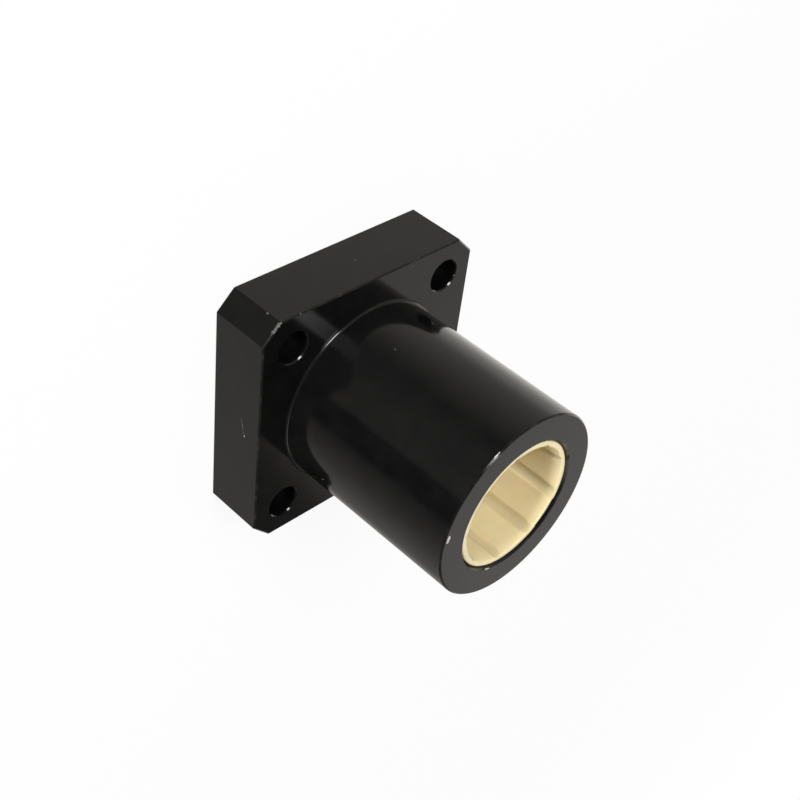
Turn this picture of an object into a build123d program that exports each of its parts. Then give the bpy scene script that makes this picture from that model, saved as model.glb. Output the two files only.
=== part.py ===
from build123d import *
import os

os.makedirs("parts", exist_ok=True)

# Linear plain bearing with a square flange, for a 16 mm shaft. The shaft runs along Z, z = 0 is
# the flange's outer face, and the round body stands on the mounting face on the other side.

# Liner: a polymer sleeve with bearing pads between lengthwise grooves
shaft_bore = 16.0  # diameter between the pads
pad_thickness = 1.0  # from the shaft out to the housing
groove_count = 9
groove_width = 1.65
groove_depth = 0.45  # what is left of the wall holds the pads together
pad_edge = 0.2  # radius where a pad meets a groove
first_groove = -18.9  # degrees from +X
lead_in_width = 0.3  # both ends curve outwards by this much to guide the shaft in
lead_in_length = 1.9
rim_chamfer = 0.12  # round the outside of both ends
end_recess = 0.3  # how far each end lies inside the housing
relief_arc = 27.0  # degrees, the cut-back rim of one pad at the open end
relief_depth = 0.3
relief_length = 0.8

# Housing: round body
housing_wall = 4.0  # from the liner out to the body's surface
overall_length = 36.0
body_end_chamfer = 0.2
foot_fillet = 0.35  # where the body stands on the mounting face
mouth_width = 0.36  # both ends of the bore open by this much, for the liner to press in
mouth_depth = 0.9

# Housing: square flange
flange_thickness = 8.8
corner_cut = 2.6  # along each side
edge_break = 0.2  # round the outline of both faces and the head bores

# Screw holes on the flange's diagonals, bored for cap heads from the outer face
screw_count = 4
first_screw = 45.0  # degrees from +X
screw_standoff = 5.0  # from the body's surface out to a screw's axis
screw_edge = 4.772  # from a screw's axis to the two nearest sides of the flange
screw_hole = 4.5
screw_hole_chamfer = 0.15
head_bore = 7.5
head_depth = 4.2

groove_radius = (groove_width**2 / 4 + groove_depth**2) / (2 * groove_depth)
groove_centre = shaft_bore / 2 + groove_depth - groove_radius
liner_radius = shaft_bore / 2 + pad_thickness
liner_bottom = end_recess
liner_top = overall_length - end_recess
body_radius = liner_radius + housing_wall
screw_radius = body_radius + screw_standoff
flange_side = 2 * (screw_radius * 0.5**0.5 + screw_edge)


def rings(edges, radius):
    """The circular edges of one radius, in groups from the lowest to the highest."""
    circles = edges.filter_by(GeomType.CIRCLE)
    return circles.filter_by(lambda e: abs(e.radius - radius) < 1e-4).group_by(Axis.Z)


with BuildPart() as housing:
    with BuildSketch(Plane.XY) as flange_outline:
        Rectangle(flange_side, flange_side)
        chamfer(flange_outline.vertices(), corner_cut)
    extrude(amount=flange_thickness)
    chamfer(housing.faces().filter_by(Axis.Z).edges(), edge_break)

    with BuildSketch(Plane.XY.offset(flange_thickness)):
        Circle(body_radius)
    extrude(amount=overall_length - flange_thickness)
    fillet(rings(housing.edges(), body_radius)[0], foot_fillet)
    chamfer(rings(housing.edges(), body_radius)[-1], body_end_chamfer)

    # The bore and its two tapered mouths
    with BuildSketch(Plane.XZ):
        with BuildLine():
            Polyline(
                (0, 0),
                (liner_radius + mouth_width, 0),
                (liner_radius, mouth_depth),
                (liner_radius, overall_length - mouth_depth),
                (liner_radius + mouth_width, overall_length),
                (0, overall_length),
                close=True,
            )
        make_face()
    revolve(axis=Axis.Z, mode=Mode.SUBTRACT)

    with Locations(Plane.XY.rotated((180, 0, 0))):
        with PolarLocations(screw_radius, screw_count, start_angle=first_screw):
            CounterBoreHole(screw_hole / 2, head_bore / 2, head_depth)
    chamfer(rings(housing.edges(), head_bore / 2)[0], edge_break)
    chamfer(rings(housing.edges(), screw_hole / 2)[-1], screw_hole_chamfer)

with BuildPart() as liner:
    with BuildSketch(Plane.XY.offset(liner_bottom)) as pads:
        Circle(liner_radius)
        Circle(shaft_bore / 2, mode=Mode.SUBTRACT)
        with PolarLocations(groove_centre, groove_count, start_angle=first_groove):
            Circle(groove_radius, mode=Mode.SUBTRACT)
        fillet(pads.vertices().group_by(SortBy.DISTANCE)[0], pad_edge)
    extrude(amount=liner_top - liner_bottom)

    # The turned envelope: curved lead-ins inside, a small chamfer outside
    with BuildSketch(Plane.XZ):
        with BuildLine():
            lower_lead_in = TangentArc(
                (shaft_bore / 2, liner_bottom + lead_in_length),
                (shaft_bore / 2 + lead_in_width, liner_bottom),
                tangent=(0, -1),
            )
            upper_lead_in = TangentArc(
                (shaft_bore / 2, liner_top - lead_in_length),
                (shaft_bore / 2 + lead_in_width, liner_top),
                tangent=(0, 1),
            )
            Polyline(
                lower_lead_in @ 1,
                (liner_radius - rim_chamfer, liner_bottom),
                (liner_radius, liner_bottom + rim_chamfer),
                (liner_radius, liner_top - rim_chamfer),
                (liner_radius - rim_chamfer, liner_top),
                upper_lead_in @ 1,
            )
            Line(lower_lead_in @ 0, upper_lead_in @ 0)
        make_face()
    revolve(axis=Axis.Z, mode=Mode.INTERSECT)

    relief_start = first_groove - 180 / groove_count - relief_arc / 2
    with BuildSketch(Plane.XZ.rotated((0, 0, relief_start))):
        with Locations((liner_radius, liner_top)):
            Rectangle(2 * relief_depth, 2 * relief_length)
    revolve(axis=Axis.Z, revolution_arc=relief_arc, mode=Mode.SUBTRACT)

housing.part.label = "housing"
liner.part.label = "liner"
export_step(housing.part, "parts/housing.step")
export_step(liner.part, "parts/liner.step")
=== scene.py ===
import math

import bpy
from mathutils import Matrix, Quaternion, Vector

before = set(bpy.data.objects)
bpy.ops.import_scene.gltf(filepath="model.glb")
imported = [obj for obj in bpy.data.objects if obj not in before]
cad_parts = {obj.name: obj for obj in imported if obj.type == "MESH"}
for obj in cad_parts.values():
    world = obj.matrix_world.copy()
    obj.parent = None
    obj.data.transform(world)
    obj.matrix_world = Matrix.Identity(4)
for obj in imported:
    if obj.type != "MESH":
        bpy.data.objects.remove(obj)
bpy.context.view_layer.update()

# Sizes in millimetres, as the part has them
HALF_SIDE = 17.5
SEAT = 8.8  # height of the flange's mounting face
CORNER_CUT = 2.6
BODY_RADIUS = 13.0
BORE_RADIUS = 9.0
MOUTH_WIDTH = 0.36  # how much wider the bore is at its two ends
TOP = 36.0
SHAFT_RADIUS = 8.0
LINER_TOP = 35.7

# Colours
DYE_DEEP = (0.0028, 0.0027, 0.0027, 1)
DYE_THIN = (0.0044, 0.0042, 0.0041, 1)
# Bare metal in nicks and scratches; the same grey also paints a highlight on the end chamfer
BARE_ALUMINIUM_AND_GLINT = (0.62, 0.61, 0.60, 1)
IVORY = (0.84, 0.71, 0.43, 1)
IVORY_PALE = (0.88, 0.76, 0.48, 1)
IVORY_STREAK = (0.78, 0.64, 0.38, 1)
# Painted shade for the floors of the liner's grooves
IVORY_GROOVE_SHADE = (0.54, 0.49, 0.30, 1)
PAPER = (0.8, 0.8, 0.8, 1)
WHITE = (1, 1, 1, 1)
WARM = (1, 0.965, 0.915, 1)

# Marks on the housing: start, end and half the width in millimetres, and how ragged the outline is
NICKS_AND_PAINTED_GLINT = [
    ((-12.25, 1.8, 36.0), (-12.1, 2.4, 36.0), 0.25, 2.0),
    # Partly a nick, partly a painted highlight: a light streak on the end chamfer where a glint falls
    ((-5.6, 11.8, 35.9), (-6.4, 11.4, 35.9), 0.12, 1.5),
    ((-3.7, -8.6, 36.0), (-3.1, -8.8, 36.0), 0.1, 1.5),
    ((-17.5, -0.6, 6.1), (-17.5, -0.6, 6.1), 0.08, 1.0),
]
DULLED = [
    ((-15.0, 17.45, 6.4), (-15.0, 17.45, 6.4), 0.18, 1.0),
    ((-15.0, 17.35, 8.7), (-16.0, 16.35, 8.6), 0.19, 3.5),
]
FAINT = [
    ((-11.9, 17.45, 8.75), (-11.9, 17.45, 8.75), 0.13, 1.0),
    ((-3.0, 12.65, 16.1), (-3.0, 12.65, 16.1), 0.11, 1.0),
    ((-17.5, 1.8, 5.4), (-17.5, -0.6, 6.1), 0.045, 3.5),
    ((6.5, 16.75, 8.8), (6.5, 16.75, 8.8), 0.1, 1.0),
    ((0.7, 17.5, 4.4), (0.7, 17.5, 4.4), 0.14, 1.0),
]

# The room that gloss mirrors: brightness by the direction round the part, given as a share of a
# turn, in which 0 is +X, 0.25 is -Y, 0.5 is -X and 0.75 is +Y
LOW_WALLS = [
    (0.0, 0.82),
    (0.04, 1.0),
    (0.10, 1.0),
    (0.14, 0.60),
    (0.20, 0.34),
    (0.25, 0.28),
    (0.28, 0.35),
    (0.34, 0.36),
    (0.365, 0.32),
    (0.42, 0.20),
    (0.45, 0.13),
    (0.475, 0.0),
    (0.545, 0.0),
    (0.56, 0.19),
    (0.62, 0.17),
    (0.75, 0.08),
    (0.86, 0.42),
    (0.935, 0.50),
    (0.965, 0.72),
    (1.0, 0.82),
]
HIGH_WALLS = [
    (0.0, 0.40),
    (0.06, 0.56),
    (0.1465, 0.60),
    (0.1505, 0.07),
    (0.24, 0.07),
    (0.34, 0.14),
    (0.65, 0.12),
    (0.85, 0.30),
    (1.0, 0.40),
]


# Node trees


class Value:
    """A socket of a node tree in an expression: arithmetic on it adds Math nodes."""

    def __init__(self, tree, socket=None):
        self.tree = tree
        self.socket = socket

    def node(self, kind, sockets=(), output=0, **settings):
        """Adds a node, its settings first and then its sockets' values or links, and gives an output."""
        made = self.tree.nodes.new(kind)
        for name, setting in settings.items():
            if name == "stops":
                set_stops(made.color_ramp, setting)
            else:
                setattr(made, name, setting)
        for key, given in dict(sockets).items():
            if isinstance(given, Value):
                self.tree.links.new(given.socket, made.inputs[key])
            else:
                made.inputs[key].default_value = given
        return Value(self.tree, made.outputs[output] if made.outputs else None)

    def out(self, key):
        """Another output of the same node."""
        return Value(self.tree, self.socket.node.outputs[key])

    def math(self, operation, *terms, **settings):
        """A Math node on the terms, in their order."""
        return self.node("ShaderNodeMath", enumerate(terms), operation=operation, **settings)

    def __add__(self, other):
        return self.math("ADD", self, other)

    __radd__ = __add__

    def __sub__(self, other):
        return self.math("SUBTRACT", self, other)

    def __rsub__(self, other):
        return self.math("SUBTRACT", other, self)

    def __mul__(self, other):
        return self.math("MULTIPLY", self, other)

    __rmul__ = __mul__

    def __truediv__(self, other):
        return self.math("DIVIDE", self, other)

    def __abs__(self):
        return self.math("ABSOLUTE", self)

    def vector(self, operation, *terms, output=0, **sockets):
        """A Vector Math node on the terms, in their order."""
        given = dict(enumerate(terms))
        given.update(sockets)
        return self.node("ShaderNodeVectorMath", given, output, operation=operation)

    def step(self, low, high):
        """0 at low and 1 at high, with a soft start and end; low may lie above high."""
        return self.node(
            "ShaderNodeMapRange", {0: self, 1: low, 2: high}, interpolation_type="SMOOTHSTEP"
        )

    def either(self, *others):
        """The largest of some masks."""
        best = self
        for other in others:
            best = self.math("MAXIMUM", best, other)
        return best

    def blend(self, plain, other):
        """From the colour plain, where the mask is 0, to the colour other, where it is 1."""
        return self.node("ShaderNodeMix", {0: self, 6: plain, 7: other}, 2, data_type="RGBA")


def set_stops(ramp, stops):
    """Puts the stops, pairs of a place and a grey level, on a colour ramp."""
    while len(ramp.elements) > 1:
        ramp.elements.remove(ramp.elements[-1])
    for index, (place, level) in enumerate(stops):
        element = ramp.elements[0] if index == 0 else ramp.elements.new(place)
        element.position = place
        element.color = (level, level, level, 1)


def new_material(name):
    """An empty material, and a handle on its node tree."""
    material = bpy.data.materials.new(name)
    material.use_nodes = True
    material.node_tree.nodes.clear()
    return material, Value(material.node_tree)


def millimetres(tree):
    """The place on the object in millimetres."""
    place = tree.node("ShaderNodeTexCoord", output="Object")
    return place.vector("SCALE", place, Scale=1000.0)


def parts_of(vector):
    """A vector's three numbers."""
    x = vector.node("ShaderNodeSeparateXYZ", {0: vector})
    return x, x.out(1), x.out(2)


def length(one, other):
    """The root of the sum of two squares."""
    return one.math("POWER", one * one + other * other, 0.5)


def speckle(place, scale, detail=2.0, stretch=(1, 1, 1)):
    """Soft noise about 0.5, with features of roughly 1 / scale millimetres."""
    turned = place.vector("MULTIPLY", place, stretch)
    return place.node("ShaderNodeTexNoise", {"Vector": turned, "Scale": scale, "Detail": detail})


def mark(place, start, end, half_width, raggedness):
    """A streak from start to end, or a dot where they are one place, with a ragged outline.

    It is drawn where the distance to the line between them falls short of the half width.
    """
    along = Vector(end) - Vector(start)
    offset = place.vector("SUBTRACT", place, start)
    if along.length > 0:
        unit = along / along.length_squared
        share = offset.vector("DOT_PRODUCT", offset, tuple(unit), output="Value")
        share = share.math("MULTIPLY", share, 1.0, use_clamp=True)
        nearest = share.vector("SCALE", tuple(along), Scale=share)
        offset = offset.vector("SUBTRACT", offset, nearest)
    distance = offset.vector("LENGTH", offset, output="Value")
    return (distance + raggedness * half_width).step(half_width * 1.15, half_width * 0.75)


def marks(place, noise, rows):
    """All the marks of a list, with outlines roughened by a noise about 0."""
    drawn = []
    for start, end, half_width, ragged in rows:
        drawn.append(mark(place, start, end, half_width, noise * ragged))
    return drawn[0].either(*drawn[1:])


# Finishes


def octagon(x, y):
    """How far out a place is, measured as the half side of the flange's cut square through it."""
    square = abs(x).either(abs(y))
    corner = (abs(x) + abs(y) + CORNER_CUT) * 0.5
    return square.either(corner)


def near_edge(one, other):
    """1 on an edge, from the distances to the two faces that meet there, 0 from 0.3 mm on."""
    return length(one, other).step(0.3, 0.1)


def tool_marks(radius, z, on_sides, strokes, fine, broad):
    """Heights in millimetres: the feed's rings on turned faces, short strokes on the flange's sides."""
    feed = 0.16
    phase = (radius + z) * (math.tau / feed) + broad * 2.0
    turned = (1 - on_sides) * phase.math("SINE", phase) * 0.0001
    milled = on_sides * strokes * 0.003
    return turned + milled + fine * (0.0005 + on_sides * 0.0007)


def wear_and_glint(place, radius, outline, z, fine):
    """How much of the dye is gone: all of it in the nicks, less in dulled places and on edges, and a
    light streak on the end chamfer that paints a highlight.
    """
    noise = speckle(place, 4.0, 3.0) - 0.5
    dulled = marks(place, noise, DULLED) * (0.04 + fine.step(0.35, 0.65) * 0.16)
    faint = marks(place, noise, FAINT) * 0.12
    edges = near_edge(HALF_SIDE - outline, SEAT - z).either(
        near_edge(HALF_SIDE - outline, z),
        near_edge(BODY_RADIUS - radius, TOP - z),
        near_edge(radius - BORE_RADIUS - MOUTH_WIDTH, TOP - z),
    )
    patches = speckle(place, 0.9, 4.0).step(0.5, 0.75)
    return marks(place, noise, NICKS_AND_PAINTED_GLINT).either(dulled, faint, edges * patches * 0.03)


def black_anodised():
    """Satin black over turned and milled aluminium, rubbed bare at the edges and in a few marks, with a
    painted highlight on the end chamfer.
    """
    material, tree = new_material("black_anodised")
    place = millimetres(tree)
    x, y, z = parts_of(place)
    radius = length(x, y)
    outline = octagon(x, y)
    on_sides = outline.step(HALF_SIDE - 0.12, HALF_SIDE - 0.04)
    fine = speckle(place, 9.0, 3.0)
    broad = speckle(place, 0.35, 2.0)
    strokes = speckle(place, 6.0, 2.0, (0.25, 0.25, 3.0))

    height = tool_marks(radius, z, on_sides, strokes, fine, broad)
    # The mask below holds nicks, scratches and rubbed edges, and one painted highlight on the end
    # chamfer
    worn_and_glint = wear_and_glint(place, radius, outline, z, fine)
    dye = broad.step(0.2, 0.8).blend(DYE_DEEP, DYE_THIN)
    satin = 0.11 + on_sides * 0.19 + (broad - 0.5) * 0.02 + (fine - 0.5) * 0.03
    bump = tree.node("ShaderNodeBump", {"Height": height, "Distance": 0.001, "Strength": 0.6})
    surface = tree.node(
        "ShaderNodeBsdfPrincipled",
        {
            "Base Color": worn_and_glint.blend(dye, BARE_ALUMINIUM_AND_GLINT),
            "Roughness": satin + worn_and_glint * 0.22,
            "Metallic": worn_and_glint * 0.35,
            "IOR": 1.5,
            "Normal": bump,
        },
    )
    tree.node("ShaderNodeOutputMaterial", {"Surface": surface})
    return material


def ivory_polymer():
    """Moulded sliding polymer, with shade painted darker down in the grooves, and faintly streaked along
    the shaft.
    """
    material, tree = new_material("ivory_polymer")
    place = millimetres(tree)
    x, y, z = parts_of(place)
    depth = length(x, y) - SHAFT_RADIUS
    # Where the grooves lie: their floors get painted shade and a rougher finish
    in_groove = depth.step(0.0, 0.4) * z.step(LINER_TOP - 0.01, LINER_TOP - 0.2)
    broad = speckle(place, 0.3, 3.0)
    streaks = speckle(place, 3.0, 3.0, (1, 1, 0.06))
    grain = speckle(place, 14.0, 2.0)

    tone = broad.step(0.3, 0.7).blend(IVORY, IVORY_PALE)
    slid = (streaks.step(0.5, 0.75) * 0.3).blend(tone, IVORY_STREAK)
    height = streaks * 0.002 + grain * 0.0015
    bump = tree.node("ShaderNodeBump", {"Height": height, "Distance": 0.001, "Strength": 0.7})
    surface = tree.node(
        "ShaderNodeBsdfPrincipled",
        {
            "Base Color": (in_groove * 0.35).blend(slid, IVORY_GROOVE_SHADE),
            "Roughness": 0.30 + (broad - 0.5) * 0.1 + in_groove * 0.12,
            "IOR": 1.5,
            "Subsurface Weight": 0.7,
            "Subsurface Radius": (1.0, 0.8, 0.5),
            "Subsurface Scale": 0.0008,
            "Normal": bump,
        },
    )
    tree.node("ShaderNodeOutputMaterial", {"Surface": surface})
    return material


# Studio


def floor():
    """A wide pale floor that keeps a faint shadow near the part and turns plain white further out."""
    half = 1.5  # metres, as all the lengths here are
    below = -0.00002  # clear of the flange's outer face
    near = 0.05  # up to here the share of matt paper is full, and it is gone at the far distance
    far = 0.5
    paper_share = 0.09  # in what the camera sees, and the rest is plain white
    mesh = bpy.data.meshes.new("floor")
    corners = [(-half, -half, below), (half, -half, below), (half, half, below), (-half, half, below)]
    mesh.from_pydata(corners, [], [(0, 1, 2, 3)])
    sheet = bpy.data.objects.new("floor", mesh)
    bpy.context.scene.collection.objects.link(sheet)
    material, tree = new_material("floor_white")
    paper = tree.node("ShaderNodeBsdfDiffuse", {"Color": PAPER})
    white = tree.node("ShaderNodeEmission", {"Color": WHITE, "Strength": 1.0})
    seen = tree.node("ShaderNodeLightPath", output="Is Camera Ray")
    place = tree.node("ShaderNodeTexCoord", output="Object")
    out = place.vector("LENGTH", place, output="Value")
    plain = 1 - out.step(far, near) * paper_share
    shown = tree.node("ShaderNodeMixShader", {0: seen * plain, 1: paper, 2: white})
    tree.node("ShaderNodeOutputMaterial", {"Surface": shown})
    mesh.materials.append(material)
    sheet.visible_glossy = False


def room():
    """White to the camera, an uneven soft room to gloss, and to matt light a fill, mostly from above."""
    world = bpy.data.worlds.new("room")
    world.use_nodes = True
    world.node_tree.nodes.clear()
    tree = Value(world.node_tree)
    direction = tree.node("ShaderNodeTexCoord", output="Generated")
    x, y, z = parts_of(direction)
    turn = x.math("ARCTAN2", y, 0 - x) / math.tau + 0.5

    # Low walls, the floor among them, turn into high ones, and those into a dark ceiling
    low = tree.node("ShaderNodeValToRGB", {0: turn}, stops=LOW_WALLS)
    high = tree.node("ShaderNodeValToRGB", {0: turn + z * 0.05 - 0.025}, stops=HIGH_WALLS)
    rise = z.step(-0.25, 0.2)
    ceiling = z.step(0.82, 0.9) * 0.85
    walls = (low + rise * (high - low)) * (1 - ceiling)

    # Three windows in a band at eye level, and a skylight
    windows = turn.math("SINE", turn * (3 * math.tau) + 0.9).step(-0.2, 0.9)
    band = z.step(-0.37, -0.16) * z.step(0.35, 0.16) * (0.12 + windows * 0.7)
    skylight = z.step(0.93, 0.99) * 0.3
    mirrored = walls + band + skylight

    camera = tree.node("ShaderNodeLightPath", output="Is Camera Ray")
    glossy = camera.out("Is Glossy Ray")
    shown = camera + camera.out("Is Transmission Ray")
    fill = (0.12 + z.step(0.4, 1.0) * 0.7) * (1 - shown - glossy)
    strength = shown + glossy * mirrored + fill
    tint = glossy.blend(WHITE, WARM)
    light = tree.node("ShaderNodeBackground", {"Color": tint, "Strength": strength})
    tree.node("ShaderNodeOutputWorld", {"Surface": light})
    bpy.context.scene.world = world


def lamp(name, direction, distance, width, height, power, in_gloss):
    """A soft box that faces the part from a direction, in metres and watts, shown in gloss or not."""
    light = bpy.data.lights.new(name, "AREA")
    light.shape = "RECTANGLE"
    light.size = width
    light.size_y = height
    light.energy = power
    box = bpy.data.objects.new(name, light)
    away = Vector(direction).normalized()
    box.location = Vector((0, 0, 0.015)) + away * distance
    box.rotation_mode = "QUATERNION"
    box.rotation_quaternion = away.to_track_quat("Z", "Y")
    box.visible_camera = False
    box.visible_glossy = in_gloss
    bpy.context.scene.collection.objects.link(box)


def photo_camera():
    """The photograph's viewpoint: over the open end, rolled so that the body runs to the lower right."""
    eye = Vector((-98.31, 111.24, 100.80)) / 1000
    look = Vector((1.30, 1.18, 14.21)) / 1000
    roll = math.radians(126.89)
    data = bpy.data.cameras.new("photo_camera")
    data.sensor_width = 36.0
    data.lens = 60.52
    data.clip_start = 0.01
    data.clip_end = 10.0
    camera = bpy.data.objects.new("photo_camera", data)
    camera.location = eye
    camera.rotation_mode = "QUATERNION"
    camera.rotation_quaternion = (look - eye).to_track_quat("-Z", "Y") @ Quaternion((0, 0, 1), roll)
    bpy.context.scene.collection.objects.link(camera)
    bpy.context.scene.camera = camera


def dress(node, material):
    """Gives a carried-over node its finish."""
    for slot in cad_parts[node].material_slots:
        slot.material = material


dress("housing", black_anodised())
dress("liner", ivory_polymer())
floor()
room()
lamp("key", (-0.165, 0.648, 0.743), 0.6, 0.16, 0.29, 2.7, in_gloss=True)
lamp("low_left", (-0.57, 0.82, 0.070), 0.5, 0.4, 0.06, 1.25, in_gloss=False)
lamp("low_front", (-0.99, -0.12, 0.080), 0.5, 0.4, 0.08, 2.3, in_gloss=False)
photo_camera()
bpy.context.scene.view_settings.view_transform = "Standard"
